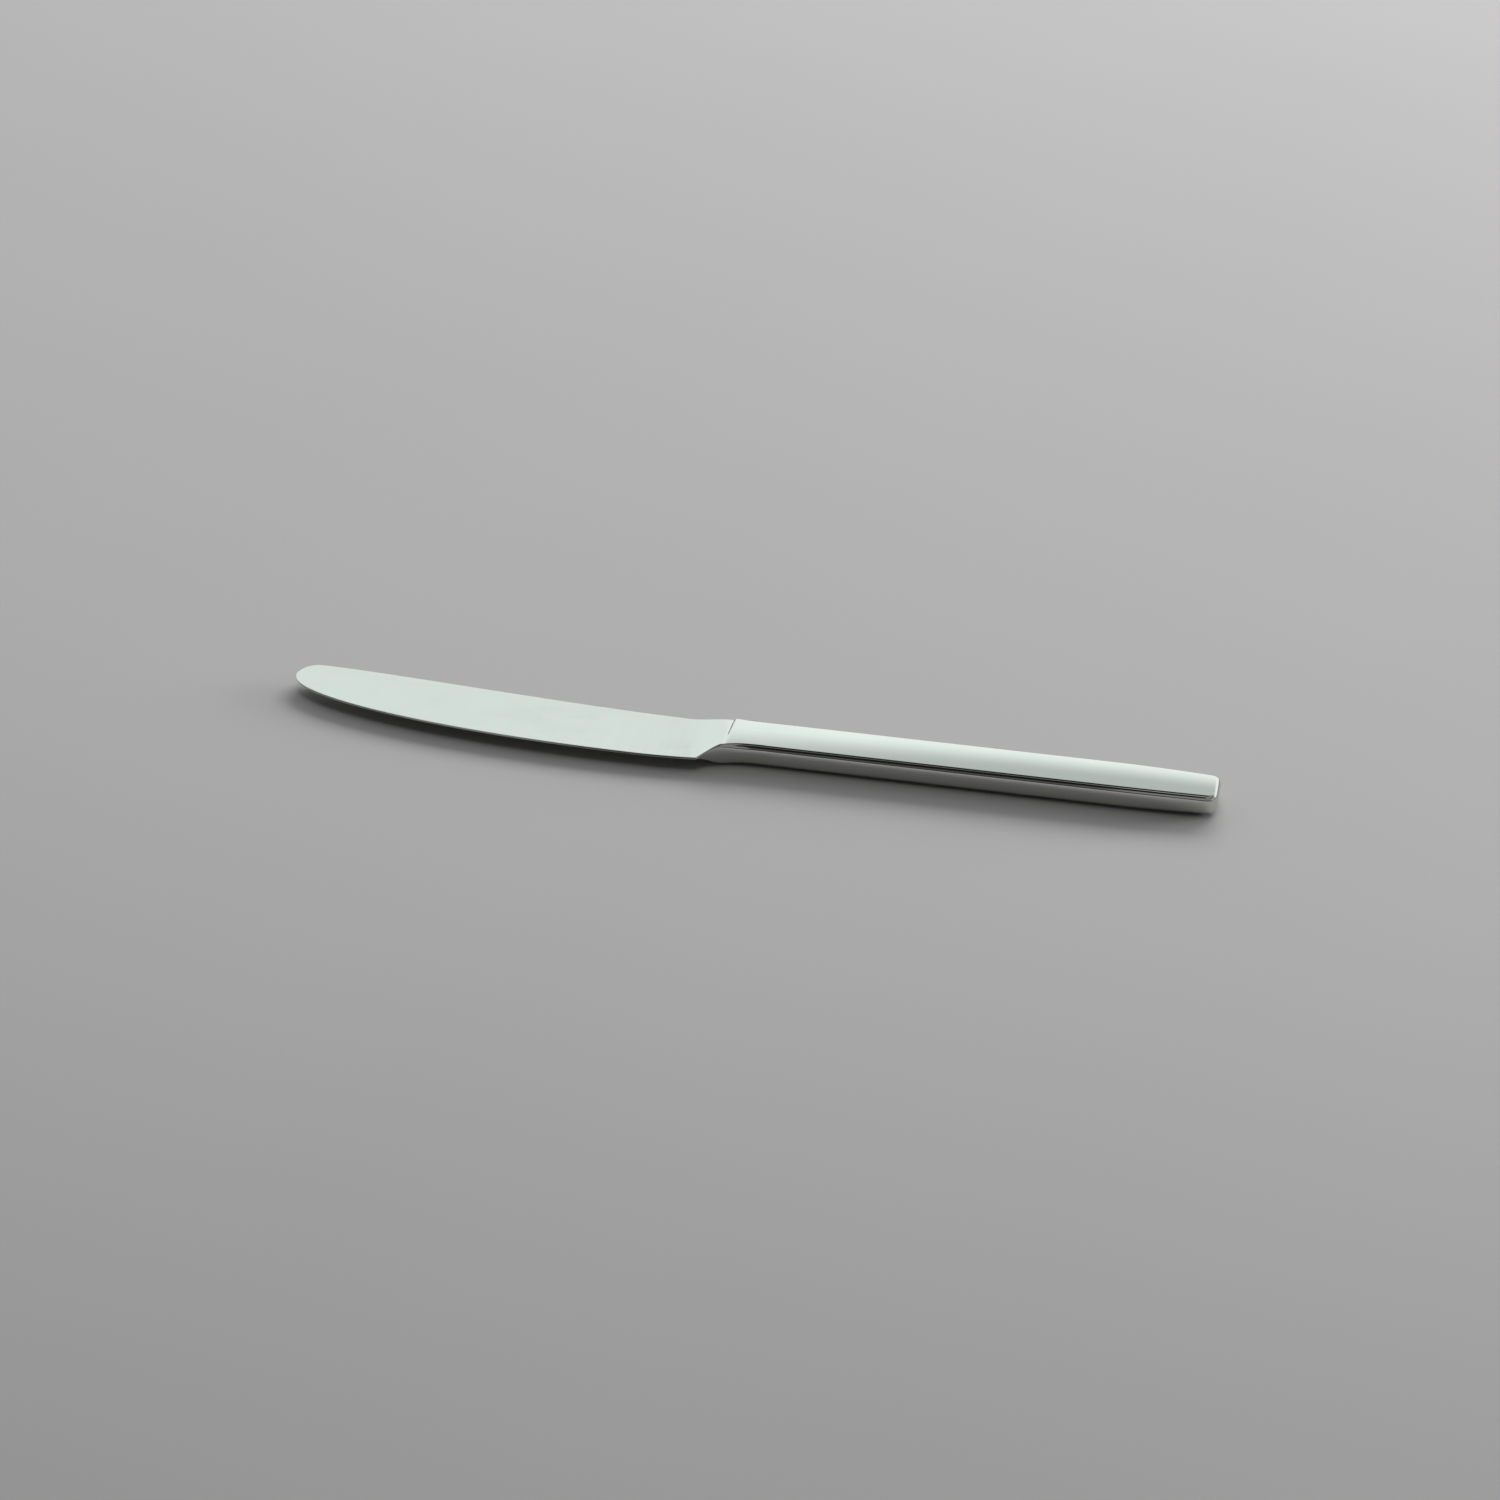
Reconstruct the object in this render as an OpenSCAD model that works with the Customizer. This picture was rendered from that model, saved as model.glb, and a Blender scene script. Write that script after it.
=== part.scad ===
// Dessert knife with a forged blade and a hollow handle, lying on its side.
// The tip points to -X, the back of the blade faces +Y, and the knife rests on z = 0.

/* [Overall] */
// Length from the tip to the butt
overall_len = 205; // [190:1:225]
// Length from the tip to the shoulder
blade_len = 99.5; // [90:0.5:110]

/* [Blade outline] */
// Height of the back above the handle's axis at the neck
back_height = 5.6; // [4.5:0.1:5.6]
// Length of the back that runs straight from the shoulder
back_straight = 7; // [2:0.5:15]
// Pull of the back's curve where it leaves the straight stretch
back_pull = 27.5; // [15:0.5:38]
// Pull of the back's curve where it levels off at the nose
nose_pull = 13; // [8:0.5:30]
// Height of the nose above the handle's axis
nose_height = 11.1; // [7:0.1:12]
// Radius of the nose at the back
nose_r = 4.5; // [3:0.1:7]
// Distance from the shoulder to the heel
heel_at = 5; // [4:0.1:9]
// Depth of the heel below the handle's axis
heel_depth = 9.4; // [8:0.1:11]
// Distance from the shoulder to the lowest point of the edge
belly_at = 18; // [12:0.5:32]
// How much lower the edge is there than at the heel
belly_drop = 0.75; // [0.1:0.05:1.5]
// Pull of the edge's curve where it leaves its lowest point
belly_pull = 42; // [25:1:50]
// Pull of the edge's curve where it turns square into the nose
tip_pull = 10; // [5:0.5:12]

/* [Blade thickness] */
// Thickness of the back by the heel
heel_t = 1.6; // [1.2:0.1:2.4]
// Thickness of the back by the nose
nose_t = 1.1; // [0.8:0.1:1.5]
// Thickness behind the edge bevel
edge_t = 0.5; // [0.3:0.05:0.7]
// Thickness left at the very edge
bite_t = 0.12; // [0.08:0.02:0.24]
// Width of the edge bevel
bevel_w = 0.7; // [0.4:0.1:1.2]
// Length over which the bevel runs out behind the heel
bevel_runout = 0.8; // [0.4:0.1:1.5]
// Radius of the back's long edges
back_r = 0.35; // [0.15:0.05:0.5]

/* [Neck and bolster] */
// Length over which the neck thickens towards the shoulder along the back
neck_len = 10; // [6:0.5:16]
// Length over which it thickens along the edge side
neck_edge_len = 5.4; // [4:0.1:6]
// Angle of the neck's hollow curve where it leaves the heel
neck_angle = 62; // [45:1:80]
// Pull of the hollow curve where it leaves the heel
neck_pull = 3.3; // [2:0.1:4.5]
// Distance from the shoulder to where the hollow curve has run out into the bolster's side
neck_tail = 8.5; // [6:0.5:10]
// Pull of the hollow curve where it runs out
tail_pull = 5.5; // [3:0.5:8]
// Step from the neck up to the bolster's faces at the back
shoulder_step = 0.45; // [0.2:0.05:0.6]
// Height over which the step fades, from the back towards the edge side
step_fade = 9; // [5:0.5:10]
// What is left of the step on the edge side
neck_inset = 0.05; // [0.02:0.01:0.2]
// Length of plain bolster between the hollow curve and the half shells
bolster_rest = 0.5; // [0.3:0.1:4]
// Length of the spigot that centres the half shells
spigot_len = 5; // [3:0.5:8]

/* [Handle] */
// Width of the handle
handle_w = 11.4; // [11:0.1:14]
// Thickness of the handle
handle_t = 5.3; // [4.8:0.1:7]
// Width of the flat band along each broad face
flat_w = 4; // [3:0.1:7]
// Fall of the broad faces from the flat band to the long edges
crown_drop = 0.2; // [0.05:0.05:0.3]
// Radius of the long edges
edge_r = 1.1; // [0.8:0.05:1.3]
// Radius of the butt's edges
butt_r = 1.2; // [0.9:0.1:1.6]
// Length over which the handle draws in towards the butt
draw_len = 24; // [8:1:30]
// How far each side has drawn in at the butt
draw_w = 0.7; // [0.1:0.05:0.9]
// How far each broad face has drawn in at the butt
draw_t = 0.3; // [0.1:0.05:0.5]
// Sheet thickness of the half shells
shell_wall = 0.75; // [0.5:0.05:0.9]
// Thickness of the braze films
braze_t = 0.12; // [0.06:0.01:0.2]

/* [Tang] */
// Length of the tang behind the spigot
tang_len = 38; // [25:1:50]
// Width of the tang at its root
tang_w = 6.4; // [4.5:0.1:7.5]
// Width of the tang at its end
tang_end_w = 4.4; // [3:0.1:4.5]
// Thickness of the tang
tang_t = 2.4; // [1.6:0.1:2.8]
// Pairs of notches that key the tang into the cement
notch_pairs = 3; // [1:1:4]
// Radius of a notch
notch_r = 0.8; // [0.4:0.1:1]
// Spacing of the notches along the tang
notch_pitch = 9; // [6:0.5:10]
// Length of cement behind the tang's end
cement_cover = 4; // [2:0.5:10]

/* [Hidden] */

// Steps along curves and rounds, and sides of a notch
curve_steps = 22;
nose_steps = 9;
neck_steps = 9;
tail_steps = 6;
round_steps = 4;
draw_steps = 4;
crown_steps = 2;
cheek_steps = 4;
table_steps = 90;
notch_fn = 32;
// Overlap of shapes that are fused into one piece, and reach of cuts past a surface
fuse = 0.5;
reach = 2;
// Least flat that is left at the very tip of the nose and between the handle's rounds
least_flat = 0.03;
// Largest share of a narrow section that a round or bevel may take
round_share = 0.3;

steel = [0.82, 0.84, 0.83];
forged_steel = [0.80, 0.83, 0.81];
braze_silver = [0.86, 0.84, 0.76];
cement_grey = [0.55, 0.52, 0.48];
fill_sand = [0.72, 0.64, 0.50];

half_w = handle_w / 2;
half_t = handle_t / 2;
handle_len = overall_len - blade_len;
draw_from = handle_len - draw_len;
bolster_len = neck_tail + bolster_rest;
shells_at = bolster_len + braze_t;
tang_root = bolster_len + spigot_len;
tang_end = tang_root + tang_len;
cement_end = tang_end + cement_cover;
belly_depth = heel_depth + belly_drop;
nose_at = blade_len - nose_r;
tip_y = nose_height - nose_r;

// Everything is drawn about the handle's axis with the shoulder at x = 0, then placed so
// that the origin is under the middle of the knife
middle = [blade_len - overall_len / 2, (belly_depth - nose_height) / 2, half_t];

function mix(a, b, share) = a + (b - a) * share;
function unit_range(v) = max(0, min(1, v));
function eased(v) = let (u = unit_range(v)) u * u * (3 - 2 * u);
function bezier(p, t) =
    pow(1 - t, 3) * p[0] + 3 * t * pow(1 - t, 2) * p[1] + 3 * t * t * (1 - t) * p[2] + pow(t, 3) * p[3];
function curve_table(p) = [for (i = [0:table_steps]) bezier(p, i / table_steps)];

// Outline of the blade: the back sweeps up to the nose, the edge from its lowest point to the tip,
// and the hollow curve of the neck from the heel to the bolster's side
back_table = curve_table([
    [-back_straight, back_height],
    [-back_straight - back_pull, back_height],
    [-nose_at + nose_pull, nose_height],
    [-nose_at, nose_height]]);
belly_table = curve_table([
    [-belly_at, -belly_depth],
    [-belly_at - belly_pull, -belly_depth],
    [-blade_len, tip_y - tip_pull],
    [-blade_len, tip_y]]);
neck_table = curve_table([
    [-heel_at, -heel_depth],
    [-heel_at + neck_pull * cos(neck_angle), -heel_depth + neck_pull * sin(neck_angle)],
    [neck_tail - tail_pull, -half_w],
    [neck_tail, -half_w]]);

function nose_y(x) = tip_y + sqrt(nose_r * nose_r - pow(x + nose_at, 2));
function neck_y(x) = lookup(x, neck_table) + neck_inset * unit_range(1 + x / heel_at);
function heel_y(x) = belly_drop * pow((x + belly_at) / (belly_at - heel_at), 2) - belly_depth;
function back_y(x) = x < -nose_at ? nose_y(x) : x < -back_straight ? lookup(x, back_table) : back_height;
function edge_y(x) = x < -belly_at ? lookup(x, belly_table) : x < -heel_at ? heel_y(x) : neck_y(x);

// Half thickness of the blade: a wedge from the edge to the back, flaring to the crowned face of the
// bolster, sooner along the back, where a step is left that fades towards the edge side
heel_wedge = (heel_t - edge_t) / 2 / (back_height + heel_depth);
nose_wedge = (nose_t - edge_t) / 2 / (nose_height - edge_y(-nose_at));
function wedge(x) = mix(heel_wedge, nose_wedge, unit_range((-x - heel_at) / (nose_at - heel_at)));
function flare(x, y) =
    let (up = eased((y - edge_y(x)) / (back_height - edge_y(x))))
    eased(1 + x / mix(neck_edge_len, neck_len, up));
function face_z(y) =
    half_t - crown_drop * pow(max(0, abs(y) - flat_w / 2) / (half_w - edge_r - flat_w / 2), 2);
function shoulder_z(y) =
    face_z(max(y, edge_r - half_w)) - mix(neck_inset, shoulder_step, eased(1 + (y - back_height) / step_fade));
function cheek_z(x, y) =
    mix(edge_t / 2 + wedge(x) * (y - edge_y(min(x, -heel_at))), shoulder_z(y), flare(x, y));

// Half section of the blade at x, from the middle of the back over one cheek to the edge
function half_section(x) =
    let (
        top = back_y(x),
        low = edge_y(x),
        room = round_share * (top - low),
        behind_heel = unit_range((x + heel_at) / bevel_runout),
        top_r = min(mix(back_r, edge_r, flare(x, top)), room, cheek_z(x, top)),
        low_w = min(mix(bevel_w, mix(back_r, edge_r, flare(x, low)), behind_heel), room),
        top_z = cheek_z(x, top - top_r),
        low_z = cheek_z(x, low + low_w),
        edge_z = mix(bite_t / 2, max(low_z - low_w, bite_t), behind_heel)
    )
    concat(
        [for (i = [0:round_steps])
            let (a = 90 * i / round_steps)
            [top - top_r * (1 - cos(a)), top_z - top_r * (1 - sin(a))]],
        [for (i = [1:cheek_steps])
            let (y = mix(top - top_r, low + low_w, i / (cheek_steps + 1)))
            [y, cheek_z(x, y)]],
        [for (i = [0:round_steps])
            let (s = i / round_steps, a = 90 * s)
            [low + low_w * mix(1 - s, 1 - sin(a), behind_heel),
             edge_z + (low_z - edge_z) * mix(1 - s, cos(a), behind_heel)]]);
function whole_section(x) =
    let (half = half_section(x), last = len(half) - 1)
    concat(half, [for (i = [last:-1:0]) [half[i][0], -half[i][1]]]);

// Stations of the blade's loft, from inside the bolster to the tip
blade_stations = concat(
    [fuse],
    [for (i = [0:neck_steps - 1]) -heel_at * i / neck_steps],
    [-heel_at + bevel_runout / 2],
    [for (i = [0:curve_steps - 1]) mix(-heel_at, -nose_at, i / curve_steps)],
    [for (i = [0:nose_steps]) -nose_at - (nose_r - least_flat) * sin(90 * i / nose_steps)]);

function at_x(x, section) = [for (p = section) [x, p[0], p[1]]];

// Skin over a row of rings with equal counts of points, closed at both ends
module loft(rings) {
    count = len(rings[0]);
    last = len(rings) - 1;
    sides = [for (i = [0:last - 1], j = [0:count - 1])
        let (a = i * count + j, b = i * count + (j + 1) % count)
        each [[a, b, b + count], [a, b + count, a + count]]];
    front_cap = [for (j = [0:count - 1]) last * count + j];
    rear_cap = [for (j = [count - 1:-1:0]) j];
    polyhedron([for (ring = rings) each ring], concat(sides, [front_cap, rear_cap]), convexity = 6);
}

// Half width or thickness of the handle at x, drawn in evenly by inset: it falls towards the butt and
// ends in a round
function butt_at(inset) = handle_len - inset;
function butt_round(inset) = max(butt_r - inset, braze_t);
function half_size(x, half, draw, inset) =
    let (
        r = butt_round(inset),
        into_round = max(0, x - butt_at(inset) + r),
        into_draw = max(0, (x - draw_from) / draw_len)
    )
    half - inset - draw * into_draw * into_draw - r + sqrt(max(0, r * r - into_round * into_round));

// Section of the handle at x: a flat band, crowned shoulders and round edges
function quarter_section(x, inset) =
    let (
        wide = half_size(x, half_w, draw_w, inset),
        high = half_size(x, half_t, draw_t, inset),
        flat = flat_w / 2 * wide / half_w,
        r = min(max(edge_r - inset, braze_t), high - crown_drop - least_flat),
        crown_run = wide - r - flat,
        tilt = 2 * atan(crown_drop / crown_run),
        crown_r = crown_run / sin(tilt)
    )
    concat(
        [for (i = [0:crown_steps])
            let (a = tilt * i / crown_steps)
            [flat + crown_r * sin(a), high - crown_r * (1 - cos(a))]],
        [for (i = [1:2 * round_steps])
            let (a = mix(tilt, 90, i / (2 * round_steps)))
            [wide - r * (1 - sin(a)), high - crown_drop - r * (1 - cos(a))]]);
function handle_section(x, inset) =
    let (q = quarter_section(x, inset), last = len(q) - 1)
    concat(
        q,
        [for (i = [last:-1:0]) [q[i][0], -q[i][1]]],
        [for (p = q) [-p[0], -p[1]]],
        [for (i = [last:-1:0]) [-q[i][0], q[i][1]]]);

// Solid form of the handle between two places, drawn in evenly by inset
module bar(inset, from, to) {
    r = butt_round(inset);
    round_from = butt_at(inset) - r;
    marks = concat(
        [for (i = [0:draw_steps]) mix(draw_from, round_from, i / draw_steps)],
        [for (i = [1:2 * round_steps - 1]) round_from + r * sin(45 * i / round_steps)]);
    stations = concat([from], [for (x = marks) if (x > from && x < to) x], [to]);
    loft([for (x = stations) at_x(x, handle_section(x, inset))]);
}

// Section of the bolster at x: the handle's, widened on the edge side where the hollow curve runs out
function bolster_section(x) =
    let (widen = -half_w - lookup(x, neck_table))
    [for (p = handle_section(x, 0)) p[0] < 0 ? [p[0] - widen, p[1]] : p];
bolster_stations = concat([for (i = [0:tail_steps]) neck_tail * i / tail_steps], [bolster_len]);

module tang() {
    difference() {
        translate([0, 0, -tang_t / 2]) linear_extrude(tang_t) polygon([
            [tang_root - fuse, -tang_w / 2],
            [tang_root - fuse, tang_w / 2],
            [tang_end, tang_end_w / 2],
            [tang_end, -tang_end_w / 2]]);
        for (i = [1:notch_pairs], side = [-1, 1]) {
            along = i * notch_pitch;
            translate([tang_root + along, side * mix(tang_w, tang_end_w, along / tang_len) / 2, -half_t])
                cylinder(h = handle_t, r = notch_r, $fn = notch_fn);
        }
    }
}

module blade() {
    color(forged_steel) translate(middle) union() {
        loft([for (x = blade_stations) at_x(x, whole_section(x))]);
        loft([for (x = bolster_stations) at_x(x, bolster_section(x))]);
        bar(shell_wall + braze_t, bolster_len - fuse, tang_root);
        tang();
    }
}

// Wall of the handle between two heights, open at the mouth
module wall_slice(low, high) {
    difference() {
        intersection() {
            bar(0, shells_at, butt_at(0));
            translate([0, -handle_w, low]) cube([overall_len, 2 * handle_w, high - low]);
        }
        bar(shell_wall, shells_at - reach, butt_at(shell_wall));
    }
}

module handle_shell_upper() {
    color(steel) translate(middle) wall_slice(braze_t / 2, handle_t);
}

module handle_shell_lower() {
    color(steel) translate(middle) wall_slice(-handle_t, -braze_t / 2);
}

module seam_braze() {
    color(braze_silver) translate(middle) wall_slice(-braze_t / 2, braze_t / 2);
}

// A rim between the bolster and the shells' mouth, and a sleeve between the spigot and the shells
module neck_braze() {
    color(braze_silver) translate(middle) difference() {
        union() {
            bar(0, bolster_len, shells_at);
            bar(shell_wall, bolster_len, tang_root);
        }
        bar(shell_wall + braze_t, bolster_len - reach, tang_root + reach);
    }
}

module tang_cement() {
    color(cement_grey) translate(middle) difference() {
        bar(shell_wall, tang_root, cement_end);
        tang();
    }
}

module core_fill() {
    color(fill_sand) translate(middle) bar(shell_wall, cement_end, butt_at(shell_wall));
}

blade();
handle_shell_upper();
handle_shell_lower();
seam_braze();
neck_braze();
tang_cement();
core_fill();
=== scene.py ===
"""Dessert knife of polished steel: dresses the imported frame, and sets its floor, light and camera."""
import bpy
import bmesh
import math
import numpy as np
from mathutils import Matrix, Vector


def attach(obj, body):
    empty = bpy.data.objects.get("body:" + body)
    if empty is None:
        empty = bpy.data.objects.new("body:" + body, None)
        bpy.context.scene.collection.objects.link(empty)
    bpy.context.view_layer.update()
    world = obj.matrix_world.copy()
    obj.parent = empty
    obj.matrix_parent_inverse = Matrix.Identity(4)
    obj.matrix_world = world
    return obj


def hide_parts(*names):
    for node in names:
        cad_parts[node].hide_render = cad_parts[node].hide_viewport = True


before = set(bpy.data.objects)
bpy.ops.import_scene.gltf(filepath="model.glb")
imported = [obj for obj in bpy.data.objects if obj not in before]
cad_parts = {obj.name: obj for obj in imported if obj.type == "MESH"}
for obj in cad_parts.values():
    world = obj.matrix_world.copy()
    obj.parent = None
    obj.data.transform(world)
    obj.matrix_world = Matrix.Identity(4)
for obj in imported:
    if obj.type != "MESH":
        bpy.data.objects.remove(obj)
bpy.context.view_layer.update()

# Sizes of the knife in millimetres, about the handle's axis with the shoulder at x = 0
OVERALL = 205.0
BLADE = 99.5
HANDLE = OVERALL - BLADE
BACK_HEIGHT = 5.6
BACK_STRAIGHT = 7.0
BACK_PULL = 27.5
NOSE_PULL = 13.0
NOSE_HEIGHT = 11.1
NOSE_R = 4.5
HEEL_AT = 5.0
HEEL_DEPTH = 9.4
BELLY_AT = 18.0
BELLY_DEPTH = HEEL_DEPTH + 0.75
BELLY_PULL = 42.0
TIP_PULL = 10.0
HEEL_T = 1.6
NOSE_T = 1.1
EDGE_T = 0.5
BITE_T = 0.12
BEVEL_W = 0.3
BEVEL_RUNOUT = 0.8
BACK_R = 0.35
NECK_EDGE_LEN = 5.4
NECK_BACK_LEN = 10.0
NECK_ANGLE = math.radians(62)
NECK_PULL = 3.0
NECK_TAIL = 8.5
TAIL_PULL = 5.5
SHOULDER_STEP = 0.45
SHOULDER_AT = 0.45
SHOULDER_RAMP = 0.55
STEP_FADE = 11.3
STEP_POWER = 0.6
BOLSTER = 9.0
SPIGOT_END = 14.0
HALF_W = 5.7
HALF_T = 2.65
CROWN = 0.2
EDGE_R = 1.2
NECK_EDGE_R = 0.7
EDGE_R_FROM = -1.0
EDGE_R_RUN = 5.5
SIDE_BULGE = 0.06
BUTT_R = 1.2
CORNER_R = 2.2
DRAW_LEN = 24.0
DRAW_W = 0.7
DRAW_T = 0.3
WALL = 0.75
FILM = 0.12
TANG_END = 52.0
TANG_W = 6.4
TANG_END_W = 4.4
TANG_T = 2.4
NOTCHES = 3
NOTCH_R = 0.8
NOTCH_PITCH = 9.0

# Faces that meet at more than this many degrees keep a sharp corner between them
SHARP = 32

NOSE_AT = BLADE - NOSE_R
TIP_Y = NOSE_HEIGHT - NOSE_R
CROWN_TILT = 2 * CROWN / (HALF_W - EDGE_R)
SHOULDER_FROM = SHOULDER_AT - SHOULDER_RAMP / 2
SHOULDER_TO = SHOULDER_AT + SHOULDER_RAMP / 2
MOUTH = BOLSTER + FILM
DRAW_FROM = HANDLE - DRAW_LEN
MIDDLE = np.array([BLADE - OVERALL / 2, (BELLY_DEPTH - NOSE_HEIGHT) / 2, HALF_T])
MM = 0.001

# Where the polishing lines turn on the neck, and over what length, in metres of the frame
BLADE_GRAIN_END = -0.0065
GRAIN_FADE = 0.004

# Polishing lines to a metre, and how far they vary the polish
FINE_LINES = 5200.0
BROAD_LINES = 900.0
LINE_DEPTH = 0.35


class Graph:
    """Adds nodes to one tree."""

    def __init__(self, tree):
        self.tree = tree

    def add(self, kind, settings=None, sockets=None, out=0):
        """A node of one kind: its settings first, then values or links for its sockets."""
        node = self.tree.nodes.new(kind)
        for name, value in (settings or {}).items():
            setattr(node, name, value)
        for name, value in (sockets or {}).items():
            if isinstance(value, Field):
                self.tree.links.new(value.socket, node.inputs[name])
            else:
                node.inputs[name].default_value = value
        return Field(self, node.outputs[out]) if len(node.outputs) else None

    def rise(self, value, low, high):
        """0 below low, 1 above high, and smooth between them."""
        return self.add("ShaderNodeMapRange", {"interpolation_type": "SMOOTHSTEP"},
                        {"Value": value, "From Min": low, "From Max": high})

    def blend(self, share, a, b):
        """Colour a at share 0 and colour b at share 1."""
        return self.add("ShaderNodeMix", {"data_type": "RGBA"}, {0: share, 6: a, 7: b}, 2)


class Field:
    """An output socket: arithmetic on it adds Math nodes to its tree."""

    def __init__(self, graph, socket):
        self.graph = graph
        self.socket = socket

    def math(self, operation, *values):
        return self.graph.add("ShaderNodeMath", {"operation": operation}, dict(enumerate(values)))

    def __add__(self, other):
        return self.math("ADD", self, other)

    def __radd__(self, other):
        return self.math("ADD", other, self)

    def __sub__(self, other):
        return self.math("SUBTRACT", self, other)

    def __rsub__(self, other):
        return self.math("SUBTRACT", other, self)

    def __mul__(self, other):
        return self.math("MULTIPLY", self, other)

    def __rmul__(self, other):
        return self.math("MULTIPLY", other, self)

    def __truediv__(self, other):
        return self.math("DIVIDE", self, other)

    def __rtruediv__(self, other):
        return self.math("DIVIDE", other, self)

    def sin(self):
        return self.math("SINE", self)

    def cos(self):
        return self.math("COSINE", self)

    def root(self):
        return self.math("SQRT", self)

    def least(self, other):
        return self.math("MINIMUM", self, other)

    def most(self, other):
        return self.math("MAXIMUM", self, other)

    def unit(self):
        """Held between 0 and 1."""
        return self.most(0.0).least(1.0)


def new_material(name):
    material = bpy.data.materials.new(name)
    material.use_nodes = True
    material.node_tree.nodes.clear()
    return material, Graph(material.node_tree)


def object_place(graph):
    return graph.add("ShaderNodeTexCoord", out="Object")


def axes_of(graph, vector):
    """The three numbers of a vector."""
    split = graph.add("ShaderNodeSeparateXYZ", None, {0: vector})
    return [Field(graph, socket) for socket in split.socket.node.outputs]


def noise(graph, place, stretch, detail=2.0, roughness=0.5, move=(0.0, 0.0, 0.0)):
    """Noise with so many cells a metre along each axis."""
    mapped = graph.add("ShaderNodeMapping", None, {"Vector": place, "Location": move, "Scale": stretch})
    return graph.add("ShaderNodeTexNoise", None,
                     {"Vector": mapped, "Scale": 1.0, "Detail": detail, "Roughness": roughness})


def polished_steel(name, tint, smooth, blade_smooth=None):
    """Polished steel with fine lines along it; blade_smooth is the blade's polish, with lines across."""
    material, g = new_material(name)
    place = object_place(g)
    along = noise(g, place, (45.0, FINE_LINES, FINE_LINES))
    broad = noise(g, place, (14.0, BROAD_LINES, BROAD_LINES), 3.0)
    if blade_smooth is not None:
        x = axes_of(g, place)[0]
        on_bar = g.rise(x, BLADE_GRAIN_END - GRAIN_FADE, BLADE_GRAIN_END)
        smooth = blade_smooth + (smooth - blade_smooth) * on_bar
        across = noise(g, place, (FINE_LINES, 60.0, 60.0))
        across_broad = noise(g, place, (BROAD_LINES, 22.0, 22.0), 3.0)
        along = across + (along - across) * on_bar
        broad = across_broad + (broad - across_broad) * on_bar
    cloud = noise(g, place, (55.0, 140.0, 140.0), 4.0, 0.6)
    scratch = g.rise(noise(g, place, (260.0, 2600.0, 900.0), 1.0, 0.4, (3.1, 0.7, 0.0)), 0.7, 0.78)
    smear = g.rise(cloud, 0.42, 0.68)
    lines = LINE_DEPTH * (along - 0.5) + LINE_DEPTH * (broad - 0.5)
    rough = smooth * (1.0 + lines + 0.22 * smear + 0.3 * scratch)
    dull = [channel * 0.95 for channel in tint]
    colour = g.blend((broad - 0.5) * 0.5 + smear * 0.35, (*tint, 1.0), (*dull, 1.0))
    bump = g.add("ShaderNodeBump", None,
                 {"Strength": 0.05, "Distance": 0.00002, "Height": along * 0.6 + broad * 0.4})
    shader = g.add("ShaderNodeBsdfPrincipled", None,
                   {"Base Color": colour, "Metallic": 1.0, "Roughness": rough, "Normal": bump})
    g.add("ShaderNodeOutputMaterial", None, {"Surface": shader})
    return material


def mineral_fill(name, dark, pale, grain):
    """A dull granular filling that the closed handle hides."""
    material, g = new_material(name)
    place = object_place(g)
    speck = noise(g, place, (grain, grain, grain), 4.0, 0.65)
    colour = g.blend(g.rise(speck, 0.3, 0.7), (*dark, 1.0), (*pale, 1.0))
    bump = g.add("ShaderNodeBump", None, {"Strength": 0.4, "Distance": 0.0002, "Height": speck})
    shader = g.add("ShaderNodeBsdfPrincipled", None,
                   {"Base Color": colour, "Roughness": 0.75 + 0.2 * speck, "Normal": bump})
    g.add("ShaderNodeOutputMaterial", None, {"Surface": shader})
    return material


STEEL = (0.64, 0.655, 0.605)
BRAZE = (0.64, 0.645, 0.58)
HANDLE_POLISH = 0.085
BLADE_POLISH = 0.15
BRAZE_POLISH = 0.1
blade_steel = polished_steel("blade_steel", STEEL, HANDLE_POLISH, BLADE_POLISH)
handle_steel = polished_steel("handle_steel", STEEL, HANDLE_POLISH)
joint_braze = polished_steel("joint_braze", BRAZE, BRAZE_POLISH)
tang_cement = mineral_fill("tang_cement_grey", (0.30, 0.28, 0.25), (0.46, 0.43, 0.39), 2600.0)
core_sand = mineral_fill("core_fill_sand", (0.42, 0.35, 0.24), (0.60, 0.52, 0.38), 1900.0)


def bezier(p0, p1, p2, p3, steps=400):
    """Points on a curve, in rising order of x."""
    t = np.linspace(0.0, 1.0, steps)[:, None]
    ends = [np.array(p, dtype=float) for p in (p0, p1, p2, p3)]
    points = ((1 - t) ** 3 * ends[0] + 3 * t * (1 - t) ** 2 * ends[1]
              + 3 * t * t * (1 - t) * ends[2] + t ** 3 * ends[3])
    return points[np.argsort(points[:, 0])]


BACK_CURVE = bezier((-BACK_STRAIGHT, BACK_HEIGHT), (-BACK_STRAIGHT - BACK_PULL, BACK_HEIGHT),
                    (-NOSE_AT + NOSE_PULL, NOSE_HEIGHT), (-NOSE_AT, NOSE_HEIGHT))
BELLY_CURVE = bezier((-BELLY_AT, -BELLY_DEPTH), (-BELLY_AT - BELLY_PULL, -BELLY_DEPTH),
                     (-BLADE, TIP_Y - TIP_PULL), (-BLADE, TIP_Y))
NECK_CURVE = bezier((-HEEL_AT, -HEEL_DEPTH),
                    (-HEEL_AT + NECK_PULL * math.cos(NECK_ANGLE),
                     -HEEL_DEPTH + NECK_PULL * math.sin(NECK_ANGLE)),
                    (NECK_TAIL - TAIL_PULL, -HALF_W), (NECK_TAIL, -HALF_W))


def unit(v):
    return max(0.0, min(1.0, v))


def eased(v):
    v = unit(v)
    return v * v * (3 - 2 * v)


def mix(a, b, share):
    return a + (b - a) * share


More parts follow.
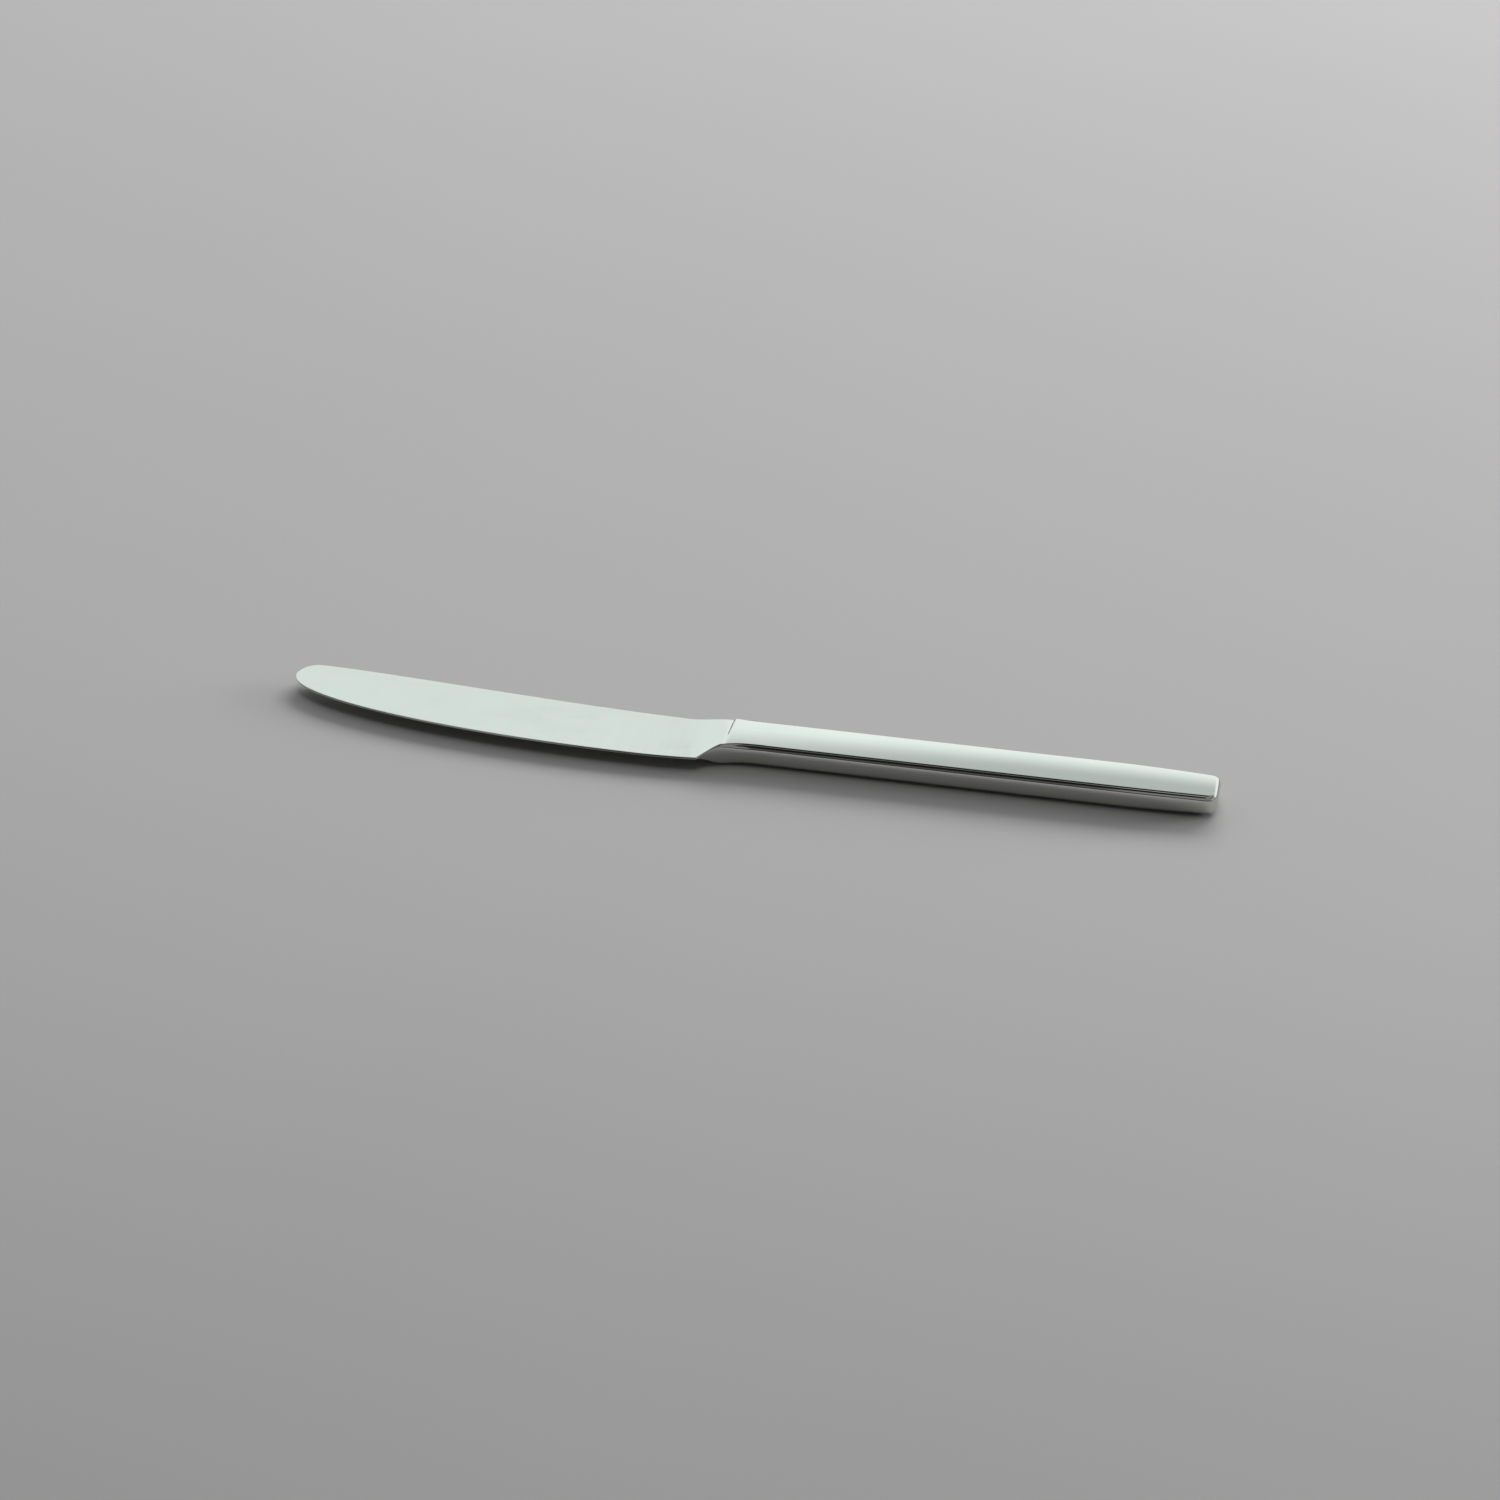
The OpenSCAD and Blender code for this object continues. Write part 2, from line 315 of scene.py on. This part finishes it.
def on_curve(curve, x):
    return float(np.interp(x, curve[:, 0], curve[:, 1]))


def back_y(x):
    if x < -NOSE_AT:
        return TIP_Y + math.sqrt(max(0.0, NOSE_R ** 2 - (x + NOSE_AT) ** 2))
    return on_curve(BACK_CURVE, x)


def edge_y(x):
    if x < -BELLY_AT:
        return on_curve(BELLY_CURVE, x)
    if x < -HEEL_AT:
        share = (x + BELLY_AT) / (BELLY_AT - HEEL_AT)
        return (BELLY_DEPTH - HEEL_DEPTH) * share ** 2 - BELLY_DEPTH
    return on_curve(NECK_CURVE, x)


HEEL_WEDGE = (HEEL_T - EDGE_T) / 2 / (BACK_HEIGHT + HEEL_DEPTH)
NOSE_WEDGE = (NOSE_T - EDGE_T) / 2 / (NOSE_HEIGHT - edge_y(-NOSE_AT))
SIDE_SHARES = (0.0, 0.25, 0.5, 0.75, 0.95)
ROUND_SHARES = [i / 8 for i in range(9)]
CHEEK_SHARES = (0.01, 0.04, 0.1, 0.2, 0.32, 0.44, 0.56, 0.68, 0.8, 0.9, 0.96, 0.99)


def thin_section(x):
    """Half section of the blade, from the middle of the back over the upper cheek to the edge."""
    top = back_y(x)
    low = edge_y(x)
    slope = mix(HEEL_WEDGE, NOSE_WEDGE, unit((-x - HEEL_AT) / (NOSE_AT - HEEL_AT)))
    foot = edge_y(min(x, -HEEL_AT))
    room = 0.3 * (top - low)

    def cheek(y):
        return EDGE_T / 2 + slope * (y - foot)

    r = min(BACK_R, room, cheek(top))
    behind_heel = unit((x + HEEL_AT) / BEVEL_RUNOUT)
    w = min(mix(BEVEL_W, BACK_R, behind_heel), room)
    top_z = cheek(top - r)
    low_z = cheek(low + w)
    bite = mix(BITE_T / 2, max(low_z - w, BITE_T), behind_heel)
    points = [(top, (top_z - r) * s) for s in SIDE_SHARES]
    for s in ROUND_SHARES:
        a = math.pi / 2 * s
        points.append((top - r * (1 - math.cos(a)), top_z - r * (1 - math.sin(a))))
    for s in CHEEK_SHARES:
        y = mix(top - r, low + w, s)
        points.append((y, cheek(y)))
    for s in ROUND_SHARES:
        a = math.pi / 2 * s
        points.append((low + w * mix(1 - s, 1 - math.sin(a), behind_heel),
                       bite + (low_z - bite) * mix(1 - s * s, math.cos(a), behind_heel)))
    points += [(low, bite * s) for s in reversed(SIDE_SHARES)]
    return np.array(points)


def bar_section(x, top, drop):
    """Half section of the neck's root and the bolster; drop lowers its faces and fades to the edge side."""
    low = edge_y(x)
    r = mix(NECK_EDGE_R, EDGE_R, eased((x - EDGE_R_FROM) / EDGE_R_RUN))
    rise = r * math.cos(CROWN_TILT)
    core = HALF_T - CROWN - rise
    lean = 4 * SIDE_BULGE / (core + math.sqrt(core * core + 8 * SIDE_BULGE * r))
    inward = SIDE_BULGE + r * (math.cos(lean) - math.sin(CROWN_TILT))
    reach_top = top - inward
    reach_low = -low - inward

    def cheek(y):
        share = y / (reach_top if y > 0 else reach_low)
        return HALF_T - CROWN * share ** 2 - drop * unit(1 + (y - BACK_HEIGHT) / STEP_FADE) ** STEP_POWER

    def bulge(rim, inside, core):
        """The side from the middle plane, then the round over the long edge."""
        end = core + r * math.sin(lean)
        side = [(rim + inside * SIDE_BULGE * s * s, end * s) for s in SIDE_SHARES]
        for s in ROUND_SHARES:
            a = mix(math.pi / 2 - lean, CROWN_TILT, s)
            inset = SIDE_BULGE + r * (math.cos(lean) - math.sin(a))
            side.append((rim + inside * inset, core + r * math.cos(a)))
        return side

    points = bulge(top, -1, cheek(reach_top) - rise)
    for s in CHEEK_SHARES:
        y = mix(reach_top, -reach_low, s)
        points.append((y, cheek(y)))
    points += reversed(bulge(low, 1, cheek(-reach_low) - rise))
    return np.array(points)


def neck_section(x):
    """The blade's section, growing into the bolster's towards the shoulder, sooner along the back."""
    thin = thin_section(x)
    bar = bar_section(x, BACK_HEIGHT, SHOULDER_STEP * (1 - eased((x - SHOULDER_FROM) / SHOULDER_RAMP)))
    low = edge_y(x)
    up = np.clip((bar[:, 0] - low) / (BACK_HEIGHT - low), 0.0, 1.0)
    grown = np.clip(1 + x / mix(NECK_EDGE_LEN, NECK_BACK_LEN, up * up * (3 - 2 * up)), 0.0, 1.0)
    return mix(thin, bar, (grown * grown * (3 - 2 * grown))[:, None])


NOSE_RINGS = 28
BLADE_RINGS = 150
NECK_RINGS = 44
SHOULDER_RINGS = 16
BOLSTER_RINGS = 24
TIP_FLAT = 0.004


def forging_rings():
    """Rings of the blade's forging from the tip to the spigot's end, as (x, half section)."""
    rings = []
    for i in range(NOSE_RINGS):
        x = -NOSE_AT - (NOSE_R - TIP_FLAT) * math.cos(math.pi / 2 * i / NOSE_RINGS)
        rings.append((x, thin_section(x)))
    for i in range(BLADE_RINGS):
        x = mix(-NOSE_AT, -HEEL_AT, i / BLADE_RINGS)
        rings.append((x, neck_section(x)))
    for i in range(NECK_RINGS):
        x = mix(-HEEL_AT, SHOULDER_FROM, i / NECK_RINGS)
        rings.append((x, neck_section(x)))
    for i in range(SHOULDER_RINGS + 1):
        x = mix(SHOULDER_FROM, SHOULDER_TO, i / SHOULDER_RINGS)
        rings.append((x, neck_section(x)))
    for i in range(1, BOLSTER_RINGS + 1):
        x = mix(SHOULDER_TO, BOLSTER, i / BOLSTER_RINGS)
        rings.append((x, bar_section(x, mix(BACK_HEIGHT, HALF_W, eased(x - SHOULDER_TO)), 0.0)))
    spigot = inset_section(rings[-1][1], WALL + FILM)
    rings.append((BOLSTER, spigot))
    rings.append((SPIGOT_END, spigot))
    return rings


NOTCH_STEPS = 12
SEAM_STEPS = 80
TANG_ROOT = 0.5


def tang_outline():
    """Outline of the notched tang, seen from above."""
    upper = [(SPIGOT_END - TANG_ROOT, TANG_W / 2)]
    for k in range(1, NOTCHES + 1):
        along = k * NOTCH_PITCH
        side = mix(TANG_W, TANG_END_W, along / (TANG_END - SPIGOT_END)) / 2
        for i in range(NOTCH_STEPS + 1):
            a = math.pi * (1 + i / NOTCH_STEPS)
            upper.append((SPIGOT_END + along + NOTCH_R * math.cos(a), side + NOTCH_R * math.sin(a)))
    upper.append((TANG_END, TANG_END_W / 2))
    return upper + [(x, -y) for x, y in reversed(upper)]


def in_frame(x, y, z):
    """A point about the handle's axis, in the frame's metres."""
    return Vector(((x, y, z) + MIDDLE) * MM)


def new_piece(name, mesh):
    piece = bpy.data.objects.new(name, mesh)
    bpy.context.scene.collection.objects.link(piece)
    return piece


def ring_at(bm, x, half):
    """Points of a whole section at x, from its upper half."""
    ring = [(y, z) for y, z in half] + [(y, -z) for y, z in half[-2:0:-1]]
    return [bm.verts.new(in_frame(x, y, z)) for y, z in ring]


def skin(bm, a, b):
    """Faces between two rings."""
    for j in range(len(a)):
        k = (j + 1) % len(a)
        bm.faces.new((a[j], b[j], b[k], a[k]))


def finished(bm, name, material):
    """The mesh as a smooth piece whose corners stay sharp."""
    for face in bm.faces:
        face.smooth = True
    bmesh.ops.recalc_face_normals(bm, faces=bm.faces)
    mesh = bpy.data.meshes.new(name)
    bm.to_mesh(mesh)
    bm.free()
    mesh.set_sharp_from_angle(angle=math.radians(SHARP))
    mesh.materials.append(material)
    return new_piece(name, mesh)


def inset_section(half, inset):
    """A half section of the handle, drawn in all round."""
    return half * np.array([(HALF_W - inset) / HALF_W, (HALF_T - inset) / HALF_T])


def make_forging():
    """The blade, neck, bolster, spigot and tang as one forged piece."""
    bm = bmesh.new()
    loops = [ring_at(bm, x, half) for x, half in forging_rings()]
    for a, b in zip(loops, loops[1:]):
        skin(bm, a, b)
    bm.faces.new(loops[0])
    bm.faces.new(list(reversed(loops[-1])))
    outline = tang_outline()
    lower = [bm.verts.new(in_frame(x, y, -TANG_T / 2)) for x, y in outline]
    upper = [bm.verts.new(in_frame(x, y, TANG_T / 2)) for x, y in outline]
    for j in range(len(outline)):
        k = (j + 1) % len(outline)
        bm.faces.new((lower[k], lower[j], upper[j], upper[k]))
    bm.faces.new(lower)
    bm.faces.new(list(reversed(upper)))
    return finished(bm, "blade_forging", blade_steel)


def make_neck_braze():
    """Braze between the bolster and the shells: a rim that shows, and a sleeve on the spigot."""
    bm = bmesh.new()
    rim = bar_section(BOLSTER, HALF_W, 0.0)
    loops = [ring_at(bm, x, half) for x, half in (
        (BOLSTER, rim),
        (MOUTH, rim),
        (MOUTH, inset_section(rim, WALL)),
        (SPIGOT_END, inset_section(rim, WALL)),
        (SPIGOT_END, inset_section(rim, WALL + FILM)),
        (BOLSTER, inset_section(rim, WALL + FILM)))]
    for a, b in zip(loops, loops[1:] + loops[:1]):
        skin(bm, a, b)
    return finished(bm, "neck_braze_rim", joint_braze)


def seam_outline():
    """Outline of the handle on its middle plane, from the mouth round the butt and back."""
    upper = [(MOUTH, HALF_W)]
    for i in range(SEAM_STEPS + 1):
        x = mix(DRAW_FROM, HANDLE, math.sin(math.pi / 2 * i / SEAM_STEPS))
        drawn = DRAW_W * ((x - DRAW_FROM) / DRAW_LEN) ** 2
        into_corner = unit(1 - (HANDLE - x) / CORNER_R)
        upper.append((x, HALF_W - drawn - CORNER_R * (1 - math.sqrt(1 - into_corner ** 2))))
    return np.array(upper + [(x, -y) for x, y in reversed(upper)])


def make_seam_braze():
    """Braze between the half shells, as a flat strip round the handle."""
    bm = bmesh.new()
    outline = seam_outline()
    along = np.gradient(outline, axis=0)
    along /= np.linalg.norm(along, axis=1)[:, None]
    inner = outline + WALL * np.stack([along[:, 1], -along[:, 0]], axis=1)
    loops = []
    for outside, inside in zip(outline, inner):
        corners = [(*outside, -FILM / 2), (*outside, FILM / 2), (*inside, FILM / 2), (*inside, -FILM / 2)]
        loops.append([bm.verts.new(in_frame(*corner)) for corner in corners])
    for a, b in zip(loops, loops[1:]):
        skin(bm, a, b)
    bm.faces.new(loops[0])
    bm.faces.new(list(reversed(loops[-1])))
    return finished(bm, "seam_braze_strip", joint_braze)


SHELL_INPUTS = {
    "Mouth": MOUTH,
    "Handle Length": HANDLE,
    "Half Width": HALF_W,
    "Half Thickness": HALF_T,
    "Edge Radius": EDGE_R,
    "Crown": CROWN,
    "Side Bulge": SIDE_BULGE,
    "Draw Length": DRAW_LEN,
    "Side Draw": DRAW_W,
    "Face Draw": DRAW_T,
    "Butt Radius": BUTT_R,
    "Corner Radius": CORNER_R,
    "Half Film": FILM / 2,
    "Turn": 1.0,
}


# Points of the shell's grid along the handle and round it, and the share of the side that a round may take
GRID_ALONG = 121
GRID_ROUND = 141
ROUND_FIT = 0.8

# Shares of the grid where its parts end: along the handle, and from mid-face to the seam
STRAIGHT_END = 0.08
DRAW_END = 0.5
TURN_END = 0.85
CROWN_END = 0.5
ROUND_END = 0.85


def shell_rule(finish):
    """Geometry nodes for a half shell: a grid bent to the handle's section, drawn in to a round butt."""
    tree = bpy.data.node_groups.new("half_shell_rule", "GeometryNodeTree")
    tree.interface.new_socket(name="Geometry", in_out="OUTPUT", socket_type="NodeSocketGeometry")
    for name, value in SHELL_INPUTS.items():
        socket = tree.interface.new_socket(name=name, in_out="INPUT", socket_type="NodeSocketFloat")
        socket.default_value = value
    g = Graph(tree)
    given = g.add("NodeGroupInput").socket.node
    size = {name: Field(g, given.outputs[name]) for name in SHELL_INPUTS}
    grid = g.add("GeometryNodeMeshGrid", None,
                 {"Size X": 1.0, "Size Y": 1.0, "Vertices X": GRID_ALONG, "Vertices Y": GRID_ROUND}, "Mesh")
    spot = axes_of(g, g.add("GeometryNodeInputPosition"))
    u = spot[0] + 0.5
    v = spot[1] + 0.5

    straight = (u / STRAIGHT_END).unit()
    drawn = ((u - STRAIGHT_END) / (DRAW_END - STRAIGHT_END)).unit()
    turned = ((u - DRAW_END) / (TURN_END - DRAW_END)).unit()
    closed = ((u - TURN_END) / (1 - TURN_END)).unit()
    draw_from = size["Handle Length"] - size["Draw Length"]
    round_from = size["Handle Length"] - size["Butt Radius"]
    x = (size["Mouth"] + (draw_from - size["Mouth"]) * straight + (round_from - draw_from) * drawn
         + size["Butt Radius"] * (turned * (math.pi / 2)).sin())
    into_draw = ((x - draw_from) / size["Draw Length"]).unit()
    fall = into_draw * into_draw
    end_in = size["Butt Radius"] * (1.0 - (turned * (math.pi / 2)).cos())
    into_corner = (1.0 - (size["Handle Length"] - x) / size["Corner Radius"]).unit()
    corner_in = size["Corner Radius"] * (1.0 - (1.0 - into_corner * into_corner).root())
    wide = size["Half Width"] - size["Side Draw"] * fall - corner_in
    high = size["Half Thickness"] - size["Face Draw"] * fall - end_in

    side = (v - 0.5) * 2.0
    way = side.math("ABSOLUTE", side)
    on_crown = (way / CROWN_END).unit()
    on_round = ((way - CROWN_END) / (ROUND_END - CROWN_END)).unit()
    on_side = ((way - ROUND_END) / (1 - ROUND_END)).unit()
    narrowed = wide / size["Half Width"]
    crown = size["Crown"] * narrowed * narrowed
    bulge = size["Side Bulge"] * narrowed * narrowed
    r = size["Edge Radius"].least((high - crown - size["Half Film"]) * ROUND_FIT)
    tilt = 2.0 * crown / (wide - r)
    core = high - crown - r * tilt.cos()
    side_end = (core + (core * core + 8.0 * bulge * r).root()) / 2.0
    lean = 2.0 * bulge / side_end
    angle = tilt + (math.pi / 2 - lean - tilt) * on_round
    down_side = (side_end - size["Half Film"]) * on_side
    up_side = (side_end - down_side) / side_end
    y = ((wide - bulge - r * (lean.cos() - tilt.sin())) * on_crown + r * (angle.sin() - tilt.sin())
         + bulge * (1.0 - up_side * up_side))
    z = high - crown * on_crown * on_crown - r * (tilt.cos() - angle.cos()) - down_side
    y = y * (1.0 - closed)
    z = size["Half Film"] + (z - size["Half Film"]) * (1.0 - closed)
    sign = side.math("SIGN", side)
    place = g.add("ShaderNodeCombineXYZ", None, {
        0: (x + float(MIDDLE[0])) * MM,
        1: (y * sign * size["Turn"] + float(MIDDLE[1])) * MM,
        2: (z * size["Turn"] + float(MIDDLE[2])) * MM})
    bent = g.add("GeometryNodeSetPosition", None, {"Geometry": grid, "Position": place})
    welded = g.add("GeometryNodeMergeByDistance", None, {"Geometry": bent, "Distance": 1e-6})
    smooth = g.add("GeometryNodeSetShadeSmooth", None, {"Geometry": welded})
    real = g.add("GeometryNodeRealizeInstances", None, {"Geometry": smooth})
    dressed = g.add("GeometryNodeSetMaterial", None, {"Geometry": real, "Material": finish})
    g.add("NodeGroupOutput", None, {"Geometry": dressed})
    return tree


def make_shell(name, rule, turn):
    """A half shell by the rule, with the wall's thickness inwards."""
    piece = new_piece(name, bpy.data.meshes.new(name))
    bend = piece.modifiers.new("bend", "NODES")
    bend.node_group = rule
    for item in rule.interface.items_tree:
        if item.in_out == "INPUT":
            bend[item.identifier] = turn if item.name == "Turn" else SHELL_INPUTS[item.name]
    wall = piece.modifiers.new("wall", "SOLIDIFY")
    wall.thickness = WALL * MM
    wall.offset = -1.0
    wall.use_even_offset = False
    done = piece.evaluated_get(bpy.context.evaluated_depsgraph_get())
    mesh = bpy.data.meshes.new_from_object(done)
    piece.modifiers.clear()
    piece.data = mesh
    mesh.name = name
    mesh.set_sharp_from_angle(angle=math.radians(SHARP))
    return piece


forging = make_forging()
rule = shell_rule(handle_steel)
shell_upper = make_shell("handle_shell_upper_skin", rule, 1.0)
shell_lower = make_shell("handle_shell_lower_skin", rule, -1.0)
neck_braze = make_neck_braze()
seam_braze = make_seam_braze()
for piece, node, finish in ((forging, "blade", "blade_steel"),
                            (shell_upper, "handle_shell_upper", "handle_steel"),
                            (shell_lower, "handle_shell_lower", "handle_steel"),
                            (neck_braze, "neck_braze", "braze"),
                            (seam_braze, "seam_braze", "braze")):
    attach(piece, "root")
    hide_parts(node)
for node, material in (("tang_cement", tang_cement), ("core_fill", core_sand)):
    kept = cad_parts[node]
    kept.data.materials.clear()
    kept.data.materials.append(material)


# The table top's tones before and behind the knife, darker before it as painted shade for the lamps'
# falloff, and the depth over which they change, in metres
FLOOR_SHADED_NEAR = ((0.256, 0.250, 0.249, 1.0), (0.268, 0.262, 0.261, 1.0))
FLOOR_LIT_FAR = ((0.358, 0.350, 0.350, 1.0), (0.370, 0.362, 0.361, 1.0))
FLOOR_DEPTH = (-0.45, 0.03)
FLOOR_DROP = 0.00002
FLOOR_HALF = 6.0


def make_floor():
    """A pale matt table top, with painted shade darkening it towards the front."""
    bm = bmesh.new()
    bmesh.ops.create_grid(bm, x_segments=1, y_segments=1, size=FLOOR_HALF)
    mesh = bpy.data.meshes.new("floor")
    bm.to_mesh(mesh)
    bm.free()
    material, g = new_material("floor_grey")
    place = object_place(g)
    mottle = noise(g, place, (9.0, 9.0, 9.0), 3.0)
    # Painted shade: the table's colour darkens towards the front, where the lamps' light falls off
    depth = g.rise(axes_of(g, place)[1], *FLOOR_DEPTH)
    near = g.blend(mottle, *FLOOR_SHADED_NEAR)
    far = g.blend(mottle, *FLOOR_LIT_FAR)
    shader = g.add("ShaderNodeBsdfPrincipled", None,
                   {"Base Color": g.blend(depth, near, far), "Roughness": 0.9})
    g.add("ShaderNodeOutputMaterial", None, {"Surface": shader})
    mesh.materials.append(material)
    floor = new_piece("floor", mesh)
    floor.location.z = -FLOOR_DROP


# The studio's panels: turns from straight behind the knife and heights, in degrees, and their glow
TURN_RIM = 8.0
HEIGHT_RIM = 2.0
FRONT_RIM = 4.0
BACK_TURNS = (-75.0, 70.0)
RIGHT_TURNS = (70.0, 135.0)
LEFT_TURNS = (-135.0, -75.0)
BACK_HEIGHTS = (5.0, 48.0)
SIDE_HEIGHTS = (5.0, 40.0)
FRONT_HEIGHTS = (14.0, 50.0)
CEILING_HEIGHTS = (50.0, 57.0)
STRIP_HEIGHTS = (40.0, 45.0)
BACK_GLOW = 1.27
BACK_TOP_GLOW = 0.69
RIGHT_GLOW = 0.5
LEFT_GLOW = 0.3
FRONT_GLOW = 0.26
CEILING_GLOW = 0.28
ROOM_GLOW = 0.01
WHITE = (1.0, 1.0, 1.0, 1.0)
BACK_TINT = (0.938, 1.015, 1.033, 1.0)

# The back panel is brightest below its brow, which climbs towards the left
BROW_TURN = -5.0
BROW_SPAN = 12.0
BROW_HEIGHT = 30.5
BROW_CLIMB = 0.13
BROW_SOFT = (-9.0, 6.5)
BROW_FADE_FROM = 4.7
BROW_FADE = 0.025

# The dark gap before and over the knife and the strip across it, as spans of a direction's x and y
FRONT_GAP = (-0.28, -0.07)
FRONT_GAP_RIM = 0.02
FRONT_GAP_HEIGHTS = (34.0, 42.0)
TOP_GAP = (-0.29, 0.06)
TOP_GAP_RIM = 0.03
STRIP = (-0.10, 0.13)
STRIP_RIM = 0.02
STRIP_CLIMB = (-0.11, -0.03)


def make_world():
    """Studio panels round the table: bright behind it, dim before and over it, with a dark gap between."""
    world = bpy.data.worlds.new("studio")
    world.use_nodes = True
    world.node_tree.nodes.clear()
    bpy.context.scene.world = world
    g = Graph(world.node_tree)
    x, y, z = axes_of(g, g.add("ShaderNodeTexCoord", out="Generated"))
    height = z.math("ARCSINE", z) * (180 / math.pi)
    turn = x.math("ARCTAN2", x, y) * (180 / math.pi)

    def between(value, low, high, soft):
        return g.rise(value, low - soft, low + soft) * (1.0 - g.rise(value, high - soft, high + soft))

    leftward = (BROW_TURN - turn).most(0.0).least(BROW_SPAN)
    brow = BROW_HEIGHT + BROW_CLIMB * leftward * leftward
    over_brow = g.rise(height - brow, *BROW_SOFT)
    glow = BACK_GLOW - BROW_FADE * (leftward - BROW_FADE_FROM).most(0.0)
    on_back = between(height, *BACK_HEIGHTS, HEIGHT_RIM) * between(turn, *BACK_TURNS, TURN_RIM)
    back = (glow + (BACK_TOP_GLOW - glow) * over_brow) * on_back
    low_band = between(height, *SIDE_HEIGHTS, HEIGHT_RIM)
    right = between(turn, *RIGHT_TURNS, TURN_RIM) * low_band * RIGHT_GLOW
    left = between(turn, *LEFT_TURNS, TURN_RIM) * low_band * LEFT_GLOW

    # The gap lies where the handle's long edge mirrors the room, and the strip crosses it overhead
    front_gap = between(x, *FRONT_GAP, FRONT_GAP_RIM) * (0.65 + 0.35 * g.rise(height, *FRONT_GAP_HEIGHTS))
    on_front = 1.0 - between(turn, LEFT_TURNS[0], RIGHT_TURNS[1], TURN_RIM)
    front = on_front * between(height, *FRONT_HEIGHTS, FRONT_RIM) * (1.0 - front_gap) * FRONT_GLOW
    gap = between(x, *TOP_GAP, TOP_GAP_RIM)
    ceiling = g.rise(height, *CEILING_HEIGHTS) * (1.0 - gap) * CEILING_GLOW
    strip_glow = 0.18 + 0.28 * g.rise(x, *STRIP_CLIMB)
    strip = between(y, *STRIP, STRIP_RIM) * g.rise(height, *STRIP_HEIGHTS) * gap * strip_glow

    # These dim panels show in the steel alone, so that the lamps make the shadow on the table
    mirrored = (front + ceiling + strip) * g.add("ShaderNodeLightPath", out="Is Glossy Ray")
    light = g.add("ShaderNodeBackground", None,
                  {"Color": g.blend(on_back, WHITE, BACK_TINT),
                   "Strength": back + right + left + mirrored + ROOM_GLOW})
    g.add("ShaderNodeOutputWorld", None, {"Surface": light})


def way_to(turn, height):
    """The way to a turn, clockwise from straight behind the knife, and a height, both in degrees."""
    a = math.radians(turn)
    e = math.radians(height)
    return Vector((math.sin(a) * math.cos(e), math.cos(a) * math.cos(e), math.sin(e)))


def make_lamp(name, turn, height, distance, size, power):
    """A soft panel aimed at the knife, for its light on the table alone."""
    data = bpy.data.lights.new(name, "AREA")
    data.shape = "RECTANGLE"
    data.size, data.size_y = size
    data.energy = power
    lamp = bpy.data.objects.new(name, data)
    bpy.context.scene.collection.objects.link(lamp)
    way = way_to(turn, height)
    lamp.location = way * distance
    lamp.rotation_euler = way.to_track_quat("Z", "Y").to_euler()
    lamp.visible_glossy = False


# The camera stands before the knife, turned to its right; the target is in millimetres of the frame
VIEW_TURN = 180 - 12.38
VIEW_HEIGHT = 31.5
VIEW_DISTANCE = 0.7629
VIEW_TARGET = Vector((1.586, 0.545, 0.0)) * MM
LENS = 85.0
SENSOR = 36.0


def make_camera():
    """The photograph's view: a long lens a little above the table."""
    back = way_to(VIEW_TURN, VIEW_HEIGHT)
    data = bpy.data.cameras.new("camera")
    data.lens = LENS
    data.sensor_width = SENSOR
    camera = bpy.data.objects.new("camera", data)
    bpy.context.scene.collection.objects.link(camera)
    camera.location = VIEW_TARGET + back * VIEW_DISTANCE
    camera.rotation_euler = (-back).to_track_quat("-Z", "Y").to_euler()
    bpy.context.scene.camera = camera


make_floor()
make_world()
make_lamp("back_panel", turn=12.0, height=25.0, distance=2.4, size=(2.3, 0.72), power=81.0)
make_lamp("high_panel", turn=12.0, height=54.0, distance=2.2, size=(2.0, 1.0), power=3.5)
make_lamp("right_panel", turn=62.0, height=9.0, distance=1.6, size=(0.7, 0.3), power=20.0)
make_lamp("top_panel", turn=12.0, height=85.0, distance=2.0, size=(1.2, 1.2), power=8.0)
make_camera()
bpy.context.scene.view_settings.view_transform = "Standard"
